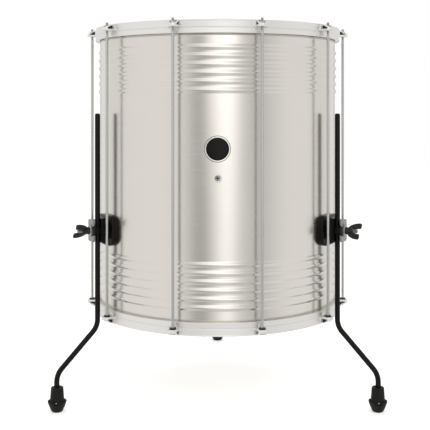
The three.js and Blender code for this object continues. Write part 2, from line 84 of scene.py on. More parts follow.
# Distances from the drum's axis in millimetres
GASKET_INNER = 251.3
BASE_INNER = 253.1
HOOP_FACE = 259.8
HOOP_LOWER_FACE = 260.3
ROD_RADIUS = 269.9
LEG_RADIUS = 274
PLATE_INNER = 283.95
PLATE_OUTER = 289.35
WASHER_INNER = 289.65
WING_FOOT = 291.75
STUD_END = 316.25
FOOT_RADIUS = 358

# Other sizes in millimetres
EAR_SHELF = 11
EAR_SHELF_THICKNESS = 3
EAR_UNDER = -EAR_SHELF - EAR_SHELF_THICKNESS
HEXAGON_RADIUS = 5.77
LEG_HALF = 5.25
STUD_HOLE = 4.3
VENT_HOLE = 4.8
WINDOW_HALF_WIDTH = 9.35
WINDOW_HALF_HEIGHT = 7.3
MERGE_WITHIN = 0.002


# Drawing and shaping


def deselect():
    bpy.ops.object.select_all(action="DESELECT")


def only(piece):
    """Selects one piece and makes it the active one"""
    deselect()
    piece.select_set(True)
    bpy.context.view_layer.objects.active = piece


def discard(*pieces):
    for piece in pieces:
        bpy.data.objects.remove(piece)


def settle():
    """Keeps the place, turn and size of the active piece in its mesh"""
    bpy.ops.object.transform_apply(location=True, rotation=True, scale=True)
    return bpy.context.object


def enter_edit():
    """Goes to edit mode with everything selected"""
    bpy.ops.object.mode_set(mode="EDIT")
    bpy.ops.mesh.select_all(action="SELECT")


def leave_edit():
    """Merges doubles, turns the faces outwards and goes back to object mode"""
    bpy.ops.mesh.select_all(action="SELECT")
    bpy.ops.mesh.remove_doubles(threshold=MERGE_WITHIN * MM)
    bpy.ops.mesh.normals_make_consistent(inside=False)
    bpy.ops.object.mode_set(mode="OBJECT")


def chain(points):
    """A line of vertices through points in mm, drawn on from the middle of a small plane"""
    deselect()
    bpy.ops.mesh.primitive_plane_add(size=MM, location=Vector(points[0]) * MM)
    piece = settle()
    enter_edit()
    bpy.ops.mesh.merge(type="CENTER")
    for here, there in pairwise(points):
        step = (Vector(there) - Vector(here)) * MM
        bpy.ops.mesh.extrude_vertices_move(TRANSFORM_OT_translate={"value": step})
    bpy.ops.mesh.select_all(action="SELECT")
    return piece


def turned(outline, steps):
    """A piece turned round the Z axis from an outline of (radius, height) in mm"""
    piece = chain([(radius, 0, height) for radius, height in outline])
    bpy.ops.mesh.spin(steps=steps, angle=math.tau, center=(0, 0, 0), axis=(0, 0, 1))
    leave_edit()
    return piece


def raised(outline, base):
    """An outline of (radius, height) points, moved up by base"""
    return [(radius, base + height) for radius, height in outline]


def turned_ring(outline, steps):
    """A turned piece whose outline closes on itself, clear of the axis"""
    return turned([*outline, outline[0]], steps)


def prism(outline, depth):
    """A flat outline of points in mm, filled and drawn out by the vector depth"""
    piece = chain(outline)
    bpy.ops.mesh.edge_face_add()
    bpy.ops.mesh.extrude_region_move(TRANSFORM_OT_translate={"value": Vector(depth) * MM})
    leave_edit()
    return piece


def side_prism(outline, width):
    """A prism from (outward radius, height) points in mm, drawn sideways and centred"""
    return prism([(-width / 2, -out, up) for out, up in outline], (width, 0, 0))


def slab(width, height, corner, inner, outer):
    """A slab with rounded corners that faces outward, between two outward distances in mm"""
    across, up = width / 2 - corner, height / 2 - corner
    steps = 7
    outline = []
    for x, z, start in ((across, up, 0), (-across, up, 90), (-across, -up, 180), (across, -up, 270)):
        for i in range(steps + 1):
            angle = math.radians(start + 90 * i / steps)
            outline.append((x + corner * math.cos(angle), -inner, z + corner * math.sin(angle)))
    return prism(outline, (0, inner - outer, 0))


def block(low, high):
    """A box between two corners in mm"""
    low, high = Vector(low) * MM, Vector(high) * MM
    deselect()
    bpy.ops.mesh.primitive_cube_add(size=1, location=(low + high) / 2, scale=high - low)
    return settle()


def bar(radius, low, high, at=(0, 0), vertices=32):
    """A round bar along Z between two heights in mm"""
    deselect()
    bpy.ops.mesh.primitive_cylinder_add(
        vertices=vertices,
        radius=radius * MM,
        depth=(high - low) * MM,
        location=(at[0] * MM, at[1] * MM, (low + high) / 2 * MM),
    )
    return settle()


def apply_modifier(piece, kind, **settings):
    only(piece)
    bpy.ops.object.modifier_add(type=kind)
    modifier = piece.modifiers[-1]
    for name, value in settings.items():
        setattr(modifier, name, value)
    bpy.ops.object.modifier_apply(modifier=modifier.name)
    return piece


def combine(piece, operation, *forms):
    """Cuts forms from a piece, joins them to it or keeps what they share, and uses them up"""
    for form in forms:
        apply_modifier(piece, "BOOLEAN", operation=operation, object=form, solver="EXACT")
        discard(form)
    return piece


def cut(piece, *cutters):
    return combine(piece, "DIFFERENCE", *cutters)


def round_edges(piece, width, segments=3, angle=30):
    return apply_modifier(
        piece,
        "BEVEL",
        width=width * MM,
        segments=segments,
        limit_method="ANGLE",
        angle_limit=math.radians(angle),
    )


def place(piece, x=0, y=0, z=0, turn=(0, 0, 0)):
    """Turns a piece, moves it by mm and keeps its place in its mesh"""
    only(piece)
    piece.rotation_euler = [math.radians(angle) for angle in turn]
    piece.location = (x * MM, y * MM, z * MM)
    return settle()


def lay_outward(piece):
    """What was turned round Z then points outward, with its heights as radii"""
    return place(piece, turn=(90, 0, 0))


def stand(piece, azimuth=0, height=0):
    """Puts a piece that was drawn at the front, with its radii in place, round the drum"""
    return place(piece, y=AXIS_Y / MM, z=height, turn=(0, 0, azimuth))


def bisect(piece, at, normal, **settings):
    """Cuts every face along a plane through a point in mm"""
    only(piece)
    enter_edit()
    bpy.ops.mesh.bisect(plane_co=Vector(at) * MM, plane_no=normal, **settings)
    bpy.ops.object.mode_set(mode="OBJECT")
    return piece


def wrap(piece, radius):
    """Bends a piece that was laid flat on its back round the drum, and stands it off at radius"""
    across = piece.dimensions.x
    apply_modifier(
        piece,
        "SIMPLE_DEFORM",
        deform_method="BEND",
        deform_axis="Z",
        angle=across / (radius * MM),
    )
    return place(piece, y=-radius)


def copy_of(piece):
    twin = piece.copy()
    twin.data = piece.data.copy()
    bpy.context.scene.collection.objects.link(twin)
    return twin


def joined(pieces):
    only(pieces[0])
    for piece in pieces[1:]:
        piece.select_set(True)
    bpy.ops.object.join()
    return bpy.context.object


def dress(piece, name, material, slot, body, *nodes, angle=30):
    """Names a finished piece, gives it its material, parents it to its body and hides the solids it
    stands for
    """
    only(piece)
    piece.name = name
    piece.data.name = name
    bpy.ops.object.shade_smooth_by_angle(angle=math.radians(angle))
    piece.data.materials.clear()
    piece.data.materials.append(material)
    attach(piece, body)
    if nodes:
        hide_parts(*nodes)
    return piece


def repaint(node, material):
    """Gives a solid that is kept as it is its real finish"""
    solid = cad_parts[node]
    solid.data.materials.clear()
    solid.data.materials.append(material)


# Materials


def linear(colour):
    """An sRGB hex value as linear RGBA"""
    channels = [int(colour[i : i + 2], 16) / 255 for i in (1, 3, 5)]
    return [*(((c + 0.055) / 1.055) ** 2.4 if c > 0.04045 else c / 12.92 for c in channels), 1]


def add_node(tree, kind, settings=None, inputs=None):
    """Adds a node, sets its properties, and sets or links its inputs"""
    node = tree.nodes.new(kind)
    for name, value in (settings or {}).items():
        setattr(node, name, value)
    for name, value in (inputs or {}).items():
        if isinstance(value, bpy.types.NodeSocket):
            tree.links.new(value, node.inputs[name])
        else:
            node.inputs[name].default_value = value
    return node


# The middle of a noise texture's range, the scale that gives patches of about 70 mm, and the
# height in millimetres of a bump of full depth
NOISE_LOW, NOISE_HIGH = 0.25, 0.75
PATCH_SCALE = 14.0
BUMP_HEIGHT = 0.2


def surface(name, colour, metallic, roughness, grain, spread, depth, tint, specular=0.5):
    """A finish with a grain of the given size in mm along x, y and z. Spread is how far the
    roughness wanders, depth the height of the bumps, tint how far the colour darkens in patches,
    and specular how strongly a finish that is not metal mirrors, where 0.5 is bare plastic."""
    known = bpy.data.materials.get(name)
    if known:
        return known
    material = bpy.data.materials.new(name)
    material.use_nodes = True
    tree = material.node_tree
    shader = tree.nodes["Principled BSDF"]
    shader.inputs["Metallic"].default_value = metallic
    shader.inputs["Specular IOR Level"].default_value = specular
    where = add_node(tree, "ShaderNodeTexCoord").outputs["Object"]
    stretch = {"Vector": where, "Scale": [1 / (size * MM) for size in grain]}
    scaled = add_node(tree, "ShaderNodeMapping", inputs=stretch).outputs["Vector"]
    fine, patches = (
        add_node(tree, "ShaderNodeTexNoise", inputs=inputs).outputs["Fac"]
        for inputs in (
            {"Vector": scaled, "Scale": 1.0, "Detail": 4.0, "Roughness": 0.6},
            {"Vector": where, "Scale": PATCH_SCALE, "Detail": 3.0},
        )
    )
    wander = {
        "Value": fine,
        "From Min": NOISE_LOW,
        "From Max": NOISE_HIGH,
        "To Min": roughness - spread,
        "To Max": roughness + spread,
    }
    full = linear(colour)
    shaded = [channel * (1 - tint) for channel in full[:3]] + [1]
    colours = {"Factor": patches, "A": full, "B": shaded}
    bumps = {"Height": fine, "Strength": depth, "Distance": BUMP_HEIGHT * MM}
    for socket, kind, settings, inputs, output in (
        ("Roughness", "ShaderNodeMapRange", {}, wander, "Result"),
        ("Base Color", "ShaderNodeMix", {"data_type": "RGBA"}, colours, "Result"),
        ("Normal", "ShaderNodeBump", {}, bumps, "Normal"),
    ):
        tree.links.new(add_node(tree, kind, settings, inputs).outputs[output], shader.inputs[socket])
    return material


def finishes():
    """Every finish on the drum, by its use. A grit finer than half a millimetre is drawn
    coarser than it is, so that it shows."""
    paints = bpy.context.scene.surdo_colours
    # Black paint, rubber and enamel mirror far less than bare plastic does, and nylon a little less
    dull, moulded = 0.14, 0.3
    return {
        # Rolled sheet, polished satin: the grain runs round the drum, 120 mm long and 0.4 mm wide
        "shell": surface(
            "rolled_aluminium", paints.shell, metallic=1, roughness=paints.shell_roughness,
            grain=(120, 120, 0.4), spread=0.045, depth=0.015, tint=0.03,
        ),
        # Pressed steel, satin nickel plated: a soft grain of 2 mm blurs what it mirrors
        "hoop": surface(
            "satin_nickel_plate", paints.hoop, metallic=1, roughness=0.48,
            grain=(2, 2, 2), spread=0.05, depth=0.02, tint=0.03,
        ),
        # Steel bar, bright chrome: hardly any grain
        "chrome": surface(
            "bright_chrome_plate", paints.chrome, metallic=1, roughness=0.14,
            grain=(1, 1, 4), spread=0.03, depth=0.02, tint=0.03,
        ),
        # Polyester film, sprayed white: a dry grit, drawn at 0.8 mm
        "film": surface(
            "coated_polyester", paints.head, metallic=0, roughness=0.6,
            grain=(0.8, 0.8, 0.8), spread=0.05, depth=0.25, tint=0.03,
        ),
        # Steel bar, powder coated: orange peel of 1.2 mm under a satin shine
        "paint": surface(
            "black_powder_coat", paints.black, metallic=0, roughness=0.4,
            grain=(1.2, 1.2, 1.2), spread=0.05, depth=0.12, tint=0.15, specular=dull,
        ),
        # Die casting, gloss painted: the sand-like skin of the casting stands out under the paint
        "casting": surface(
            "black_gloss_casting", paints.casting, metallic=0, roughness=0.17,
            grain=(1.8, 1.8, 1.8), spread=0.04, depth=0.3, tint=0.1, specular=dull,
        ),
        # Zinc casting, tumbled and dull plated: even grey
        "plate": surface(
            "tumbled_zinc_casting", paints.plate, metallic=1, roughness=0.42,
            grain=(1, 1, 1), spread=0.05, depth=0.06, tint=0.08,
        ),
        # Moulded rubber: dull, with a bloom that greys it in patches
        "rubber": surface(
            "moulded_rubber", paints.rubber, metallic=0, roughness=0.5,
            grain=(1, 1, 1), spread=0.07, depth=0.15, tint=0.2, specular=dull,
        ),
        # Moulded nylon: the fine grit that spark erosion leaves in the mould, drawn at 0.6 mm
        "nylon": surface(
            "black_nylon", paints.nylon, metallic=0, roughness=0.3,
            grain=(0.6, 0.6, 0.6), spread=0.05, depth=0.12, tint=0.15, specular=moulded,
        ),
        # Zinc plated steel: cloudy grey
        "zinc": surface(
            "zinc_plate", paints.zinc, metallic=1, roughness=0.34,
            grain=(1.5, 1.5, 1.5), spread=0.06, depth=0.05, tint=0.12,
        ),
        # Stoving enamel, fired dull and smooth
        "enamel": surface(
            "black_enamel", paints.enamel, metallic=0, roughness=0.3,
            grain=(3, 3, 3), spread=0.03, depth=0.01, tint=0.1, specular=dull,
        ),
    }


class SurdoSizes(bpy.types.PropertyGroup):
    """Sizes of the pieces that are modelled here"""

    shell_radius: bpy.props.FloatProperty(
        name="Shell radius", description="Outer radius of the shell", default=0.251, unit="LENGTH"
    )
    shell_wall: bpy.props.FloatProperty(
        name="Shell wall", description="Thickness of the sheet", default=0.0015, unit="LENGTH"
    )
    bead_pitch: bpy.props.FloatProperty(
        name="Bead pitch", description="From one bead to the next", default=0.0162, unit="LENGTH"
    )
    bead_from_edge: bpy.props.FloatProperty(
        name="First bead", description="Shell edge to the first bead", default=0.0346, unit="LENGTH"
    )
    bead_width: bpy.props.FloatProperty(
        name="Bead width", description="Width of a bead", default=0.012, unit="LENGTH"
    )
    bead_height: bpy.props.FloatProperty(
        name="Bead height", description="How far a bead stands out", default=0.0022, unit="LENGTH"
    )
    bead_count: bpy.props.IntProperty(
        name="Beads", description="Beads near each edge of the shell", default=6
    )
    round_steps: bpy.props.IntProperty(
        name="Round steps", description="Steps round the large turned pieces", default=256
    )
    badge_height: bpy.props.FloatProperty(
        name="Badge", description="Floor to the badge", default=middle_height("badge"), unit="LENGTH"
    )
    vent_height: bpy.props.FloatProperty(
        name="Vent", description="Floor to the vent", default=middle_height("vent_grommet"), unit="LENGTH"
    )


class SurdoColours(bpy.types.PropertyGroup):
    """Colours of the finishes, as sRGB hex values"""

    shell: bpy.props.StringProperty(name="Shell", description="Aluminium", default="#E0DCD5")
    shell_roughness: bpy.props.FloatProperty(
        name="Shell roughness", description="0 is a mirror", default=0.24, min=0, max=1, subtype="FACTOR"
    )
    hoop: bpy.props.StringProperty(name="Hoops", description="Satin nickel", default="#EFEDEA")
    chrome: bpy.props.StringProperty(name="Rods", description="Bright chrome", default="#B8B8B6")
    head: bpy.props.StringProperty(name="Heads", description="Coated film", default="#EFEDE6")
    black: bpy.props.StringProperty(name="Legs", description="Powder coat", default="#161310")
    casting: bpy.props.StringProperty(name="Brackets", description="Gloss paint", default="#0E0E0D")
    plate: bpy.props.StringProperty(name="Clamp plates", description="Dull plating", default="#A6A6A3")
    rubber: bpy.props.StringProperty(name="Feet", description="Rubber", default="#1E1D1C")
    nylon: bpy.props.StringProperty(name="Wing nuts", description="Nylon", default="#1C1C1B")
    zinc: bpy.props.StringProperty(name="Studs", description="Zinc plate", default="#8E8E8A")
    enamel: bpy.props.StringProperty(name="Badge", description="Enamel", default="#12110F")
    floor: bpy.props.StringProperty(name="Floor", description="Studio floor", default="#F4F4F4")


# Shell and heads


class SURDO_OT_shell(bpy.types.Operator):
    """Rolls the shell with its rounded beads and drills it"""

    bl_idname = "surdo.shell"
    bl_label = "Shell"

    def execute(self, context):
        sizes = context.scene.surdo_sizes
        outer = sizes.shell_radius / MM
        inner = outer - sizes.shell_wall / MM
        half = (SHELL_TOP - SHELL_BOTTOM) / 2
        width = sizes.bead_width / MM
        rise = sizes.bead_height / MM
        middles = [
            half - (sizes.bead_from_edge + sizes.bead_pitch * i) / MM for i in range(sizes.bead_count)
        ]
        # The flat strip beside a bead, the steps over its crest, the strip with the drilled holes on
        # either side of their middle, and how far a drill reaches to either side of the wall
        flat, crest_steps, hole_strip, drill_reach = 0.8, 10, 6.5, 5
        outline = [(inner, -half), (outer, -half)]
        for middle in sorted([*middles, *(-m for m in middles)]):
            # A rounded crest between flat valleys
            outline.append((outer, middle - width / 2 - flat))
            for i in range(crest_steps + 1):
                share = i / crest_steps
                lift = rise * math.sin(math.pi * share) ** 1.5
                outline.append((outer + lift, middle + width * (share - 0.5)))
            outline.append((outer, middle + width / 2 + flat))
            if middle == -middles[-1]:
                # Rings close above and below the drilled holes keep the tall wall smooth there
                for height in (CLAMP_HEIGHT, sizes.vent_height / MM):
                    outline += [(outer, height - SHELL_MIDDLE + d) for d in (-hole_strip, hole_strip)]
        # Under the top counterhoop the sheet is turned in, as (how far in, how far from the edge)
        turned_in = [
            (1.1, 0), (1.1, 7.8), (0.95, 9), (0.65, 10.2),
            (0.32, 11.4), (0.1, 12.6), (0, 13.8), (0, 14.6),
        ]
        outline += [(outer - depth, half - drop) for depth, drop in reversed(turned_in)]
        outline += [(inner - depth, half - drop) for depth, drop in ((1.1, 0), (1.1, 8), (0, 14))]
        shell = turned_ring(outline, sizes.round_steps)
        drills = [
            place(
                bar(radius, -outer - drill_reach, -outer + drill_reach),
                turn=(-90, 0, azimuth),
                z=height - SHELL_MIDDLE,
            )
            for radius, azimuth, height in (
                *((STUD_HOLE, azimuth, CLAMP_HEIGHT) for azimuth in LEGS.values()),
                (VENT_HOLE, 0, sizes.vent_height / MM),
            )
        ]
        cut(shell, joined(drills))
        stand(shell, height=SHELL_MIDDLE)
        dress(shell, "rolled_shell", finishes()["shell"], "satin_aluminium", "drum", "shell", angle=35)
        return {"FINISHED"}


class SURDO_OT_heads(bpy.types.Operator):
    """Turns both heads with their collars and flesh hoops"""

    bl_idname = "surdo.heads"
    bl_label = "Heads"

    def execute(self, context):
        steps = context.scene.surdo_sizes.round_steps
        film = [
            (0, 0.3), (251.3, 0.3), (251.3, -7.9), (251.8, -7.9), (251.8, -0.6), (251.6, 0.3),
            (250.9, 0.75), (250, 0.8), (150, 0.8), (60, 0.8), (0, 0.8),
        ]
        hoop = [
            (251.9, -8.4), (257.6, -8.4), (257.6, 0.4), (256.8, 1.1), (252.8, 1.1), (251.9, 0.4),
        ]
        looks = finishes()
        for end, head_node, height, flip in (
            ("top", "batter_head", SHELL_TOP, 0),
            ("bottom", "resonant_head", SHELL_BOTTOM, 180),
        ):
            hoop_node = "flesh_hoop_" + end
            for form, name, look, slot, node in (
                (turned(film, steps), "coated_" + head_node, "film", "head_film", head_node),
                (turned_ring(hoop, steps), "rolled_" + hoop_node, "shell", "satin_aluminium", hoop_node),
            ):
                stand(place(form, turn=(0, flip, 0)), height=height)
                dress(form, name, looks[look], slot, "drum", node)
        return {"FINISHED"}


# Counterhoops with their ears


def ear_tongue(low, high, inset=0.0):
    """The ear's outline seen from above, from the hoop to its rounded tip"""
    half = [(10, -268), (9.3, -273), (7.3, -277), (4, -279.3), (0, -279.9)]
    right = [(x - inset * (x > 0), y + inset) for x, y in half]
    left = [(-x, y) for x, y in reversed(right[:-1])]
    back = 259.2 - 4 * (inset > 0)
    outline = [(10 - inset, -back), *right, *left, (inset - 10, -back)]
    return prism([(x, y, low) for x, y in outline], (0, 0, high - low))


def make_ear():
    """One pressed steel ear, drawn at the front with the hoop's edge at z = 0"""
    cheeks = ear_tongue(EAR_UNDER, -1)
    cut(cheeks, ear_tongue(-EAR_SHELF, 3, inset=2.2))
    # The cheeks slope down outwards, and a leaf-shaped window goes through both, through which the black
    # fill shows as painted shade
    slope = [
        (261.9, -0.4), (265, -1.2), (270, -3.2), (275, -6),
        (281, -8.4), (285, -8.4), (285, 2), (261.9, 2),
    ]
    window = [
        (262.6, -9.9), (267, -10.3), (272, -10), (274, -9.2),
        (272, -7), (267, -4.2), (263.6, -3.2), (262.6, -3.7),
    ]
    cut(cheeks, side_prism(slope, 30), side_prism(window, 30))
    # The plate that is welded to the hoop, with a tail below
    outline = [
        (-14.5, EAR_UNDER), (-5, EAR_UNDER), (-2.4, -21.8), (-1.4, -22.5), (1.4, -22.5),
        (2.4, -21.8), (5, EAR_UNDER), (14.5, EAR_UNDER), (15, EAR_UNDER + 2), (13.5, -6), (10, -1),
        (-10, -1), (-13.5, -6), (-15, EAR_UNDER + 2),
    ]
    plate = prism([(x, -259, z) for x, z in outline], (0, -2.9, 0))
    combine(cheeks, "UNION", plate)
    round_edges(cheeks, 0.45, 2, 40)
    cut(cheeks, bar(3, EAR_UNDER - 1, 1, at=(0, -ROD_RADIUS), vertices=24))
    # Weld dimples on the plate's shoulders
    dimples = []
    for side in (-1, 1):
        dimple = turned([(0, 262.4), (1, 262.3), (1.7, 261.9), (1.9, 261.5), (0, 261.5)], 16)
        dimples.append(place(lay_outward(dimple), x=side * 12, z=EAR_UNDER + 2.2))
    return joined([cheeks, *dimples])


def make_bush_and_shade():
    """The black nylon fill between an ear's cheeks, which is painted shade for the dark inside of the
    ear, and the black ring that guides the rod's shank, partly painted shade at a bottom ear's shelf
    """
    low = 0.1 - EAR_SHELF
    # The fill's black is painted shade for the shade inside the ear, seen through the cheeks' windows
    lining_and_shade = ear_tongue(low, -2.6, inset=2.3)
    slope = side_prism([(271, -8.6), (285, -13), (285, 3), (262, 3), (264, -3)], 30)
    cut(lining_and_shade, ear_tongue(low - 2, 3, inset=3.3), slope)
    back = block((-7.4, -264.2, low), (7.4, -261.8, -2.2))
    outline = [(2.8, -0.1), (6.3, -0.1), (6.3, -2), (5.9, -2.5), (2.8, -2.5)]
    # The ring's black is partly a nylon ring and partly painted shade at the shelf
    ring = turned_ring(raised(outline, EAR_UNDER), 32)
    place(ring, y=-ROD_RADIUS)
    return joined([lining_and_shade, round_edges(back, 0.5)]), ring


class SURDO_OT_counterhoops(bpy.types.Operator):
    """Rolls both counterhoops and welds the ears on"""

    bl_idname = "surdo.counterhoops"
    bl_label = "Counterhoops"

    def execute(self, context):
        # The hoop's section, with a rolled groove in its outer face over the flesh hoop
        outline = [
            (258, -25.5), (258.4, -25.5), (259.9, -25.5), (HOOP_LOWER_FACE, -25),
            (HOOP_LOWER_FACE, -24), (260.2, -23.4), (260.15, -22.8), (259.75, -17.1),
            (259.7, -16.5), (259.5, -15.7), (258.9, -15.2), (258.9, -14.6), (259.6, -14.1),
            (HOOP_FACE, -13.5), (HOOP_FACE, -12.8), (HOOP_FACE, -3.1), (HOOP_FACE, -2.4),
            (260.1, -1.7), (260.1, -0.9), (259.6, -0.2), (258.7, 0), (257.9, -0.3), (257.5, -1),
            (257.5, -13.2), (252.6, -13.2), (252.4, -13.6), (252.4, -15.2), (258, -15.2),
        ]
        steps = context.scene.surdo_sizes.round_steps
        ear, (bush_and_shade, ring) = make_ear(), make_bush_and_shade()
        looks = finishes()
        for end, height, flip in (("top", HOOP_TOP, 0), ("bottom", HOOP_BOTTOM, 180)):
            band = turned_ring(outline, steps)
            ears, bushes_and_shade = [], []
            for azimuth in RODS.values():
                ears.append(place(copy_of(ear), turn=(0, 0, azimuth)))
                bushes_and_shade.append(place(copy_of(bush_and_shade), turn=(0, 0, azimuth)))
                if end == "bottom":
                    bushes_and_shade.append(place(copy_of(ring), turn=(0, 0, azimuth)))
            hoop = stand(place(joined([band, *ears]), turn=(0, flip, 0)), height=height)
            node = "counterhoop_" + end
            dress(hoop, "rolled_" + node, looks["hoop"], "plated_steel", "drum", node, angle=32)
            # The black fills and rings are painted shade inside the ears and at the bottom ears' shelves
            lining_and_shade = stand(place(joined(bushes_and_shade), turn=(0, flip, 0)), height=height)
            dress(lining_and_shade, "ear_bushes_and_shade_" + end, looks["nylon"], "black_plastic", "drum")
        discard(ear, bush_and_shade, ring)
        return {"FINISHED"}


# Tension rods and tuning nuts


def thread(start, end, pitch, *ridge):
    """A thread's outline: the ridge, as (radius, height above its foot), once for each pitch"""
    outline = []
    while start < end:
        outline += [(radius, start + up) for radius, up in ridge]
        start += pitch
    return outline


class SURDO_OT_tension_rods(bpy.types.Operator):
    """Turns the tension rods with their threads, and the tuning nuts"""

    bl_idname = "surdo.tension_rods"
    bl_label = "Tension rods"

    def execute(self, context):
        # The head is 6 mm high and 0.3 mm clear of its ear, and the thread ends above the top hoop
        low = HOOP_BOTTOM + EAR_SHELF - 6.3
        high = HOOP_TOP + 3
        thread_low = high - 24
        outline = [(0, low + 3), (2.7, low + 3), (2.7, thread_low)]
        outline += thread(thread_low, high - 1.6, 0.9, (2.62, 0.225), (2.3, 0.675))
        outline += [(2.5, high - 0.9), (2.1, high - 0.3), (1.2, high), (0, high)]
        shank = turned(outline, 16)
        head = bar(HEXAGON_RADIUS, low, low + 6, vertices=6)
        round_edges(head, 0.6, 2, 40)
        outline = [(0, 4.6), (6.2, 4.6), (6.4, 5.2), (6.2, 6), (0, 6)]
        flange = turned(raised(outline, low), 24)
        rod = joined([shank, head, flange])
        nut_low = HOOP_TOP - EAR_SHELF + 0.3
        nut = bar(HEXAGON_RADIUS, nut_low, nut_low + 8, vertices=6)
        # A turned form rounds the hexagon's corners above and below
        outline = [(0, -2), (4.2, -2), (5, 0), (5.9, 0.9), (5.9, 7.1), (5, 8), (4.2, 10), (0, 10)]
        combine(nut, "INTERSECT", turned(raised(outline, nut_low), 24))
        cut(nut, bar(2.9, nut_low - 2, nut_low + 12, vertices=24))
        round_edges(nut, 0.3, 2, 40)
        looks = finishes()
        for number, azimuth in RODS.items():
            for form, prefix, node, body in (
                (rod, "threaded_", "tension_rod_", "drum"),
                (nut, "hex_", "tuning_nut_", "tuning_" + number),
            ):
                piece = stand(place(copy_of(form), y=-ROD_RADIUS), azimuth)
                node += number
                dress(piece, prefix + node, looks["chrome"], "plated_steel", body, node)
        discard(rod, nut)
        return {"FINISHED"}


# Badge and vent


class SURDO_OT_badge_and_vent(bpy.types.Operator):
    """Presses the bare badge with its bright rim, and makes the vent's ring and its grey funnel, which is
    painted light for the drum's inside lit through the heads
    """

    bl_idname = "surdo.badge_and_vent"
    bl_label = "Badge and vent"

    def execute(self, context):
        sizes = context.scene.surdo_sizes
        looks = finishes()
        # The badge stands just off the shell, and its outlines are (radius, height above its back)
        badge_radius = sizes.shell_radius / MM + 0.3
        for name, form, look, slot, outline in (
            # The black back reaches past the rim, and its edge there is painted shade, a dark line round
            # the rim's outer wall
            ("badge_back", turned, "enamel", "badge_black", [
                (0, 0), (8, 0), (16, 0), (24.7, 0), (25, 0.2),
                (25, 0.8), (24.6, 1.1), (16, 1.1), (8, 1.1), (0, 1.1),
            ]),
            ("badge_rim", turned_ring, "shell", "plated_steel", [
                (21.3, 0.9), (24.1, 0.9), (24.2, 1.1), (24.2, 2), (24, 2.3),
                (23.7, 2.4), (22, 2.4), (21.6, 2.3), (21.4, 2),
            ]),
            ("badge_face", turned, "enamel", "badge_black", [
                (0, 1.2), (8, 1.2), (16, 1.2), (21.5, 1.2), (21.5, 1.5),
                (20.8, 1.9), (16, 2), (8, 2.05), (0, 2.05),
            ]),
        ):
            piece = wrap(lay_outward(form(outline, 72)), badge_radius)
            stand(piece, height=sizes.badge_height / MM)
            dress(piece, name, looks[look], slot, "drum", "badge")
        # The vent's outlines are (radius, distance from the drum's axis)
        for name, look, outline in (
            ("rolled_vent_ring", "hoop", [
                (4.5, 251.3), (8.3, 251.3), (8.5, 251.7), (8.2, 252.3),
                (7.3, 252.8), (6.4, 252.7), (5.8, 252.2), (5.2, 251.5),
            ]),
            # The grey funnel narrows the hole and is painted light, for the inside of the drum lit
            # through the heads
            ("vent_funnel_painted_light", "plate", [
                (1.7, 248.2), (5.4, 247.7), (6, 248.3), (5.7, 249.1), (4.6, 249.2), (4.6, 251.4),
                (5.3, 251.6), (4.6, 250.6), (3.2, 249.6), (1.9, 249.2), (1.6, 248.8),
            ]),
        ):
            piece = stand(lay_outward(turned_ring(outline, 40)), height=sizes.vent_height / MM)
            dress(piece, name, looks[look], "plated_steel", "drum", "vent_grommet")
        return {"FINISHED"}


# Legs and feet


def make_leg():
    """A bar with two bends of 45 degrees, drawn at the front from its top down"""
    # The radius of a bend, how far from its corner it starts, and the heights of both corners and
    # of the lower end
    bend = 34
    reach = bend * math.tan(math.radians(22.5))
    upper_corner, lower_corner, end = 157, 72, 9.3
    straight = (FOOT_RADIUS - LEG_RADIUS) - 2 * reach * math.sin(math.radians(45))
    deselect()
    bpy.ops.mesh.primitive_circle_add(
        vertices=24,
        radius=LEG_HALF * MM,
        fill_type="NGON",
        location=(0, -LEG_RADIUS * MM, LEG_TOP * MM),
    )
    leg = settle()
    enter_edit()

    def draw_on(y, z):
        bpy.ops.mesh.extrude_region_move(TRANSFORM_OT_translate={"value": (0, y * MM, z * MM)})

    def bend_by(degrees, y, z):
        bpy.ops.mesh.spin(
            steps=8, angle=math.radians(degrees), center=(0, y * MM, z * MM), axis=(1, 0, 0)
        )

    draw_on(0, upper_corner + reach - LEG_TOP)
    bend_by(45, -LEG_RADIUS - bend, upper_corner + reach)
    draw_on(-straight, -straight)
    bend_by(-45, -FOOT_RADIUS + bend, lower_corner - reach)
    draw_on(0, end - (lower_corner - reach))
    leave_edit()
    return round_edges(leg, 3, 4, 60)


def make_foot():
    """A rubber boot with a turned-up collar, drawn about the Z axis"""
    outline = [
        (0, 0), (8.8, 0), (10, 0.5), (11.4, 2.2), (13.2, 6), (15.6, 11.6), (17.4, 16.4), (18.4, 20),
        (18.5, 20.8), (18, 21.2), (17.2, 20.6), (16, 19.4), (15, 19), (14.4, 19.8), (14, 22),
        (13.6, 26), (13.1, 33), (12.6, 41), (12.1, 46), (11.8, 47.2), (11.1, 47.9), (10.4, 48),
        (7.4, 47.6), (6.2, 46.6), (5.6, 45), (5.6, 9), (0, 9),
    ]
    foot = turned(outline, 48)
    # The pit holds the chrome knob that puts a painted glint on the boot's front
    pit = place(bar(2.9, 11, 20, vertices=24), z=FOOT_GLINT_HEIGHT, turn=(90, 0, 0))
    return cut(foot, pit)


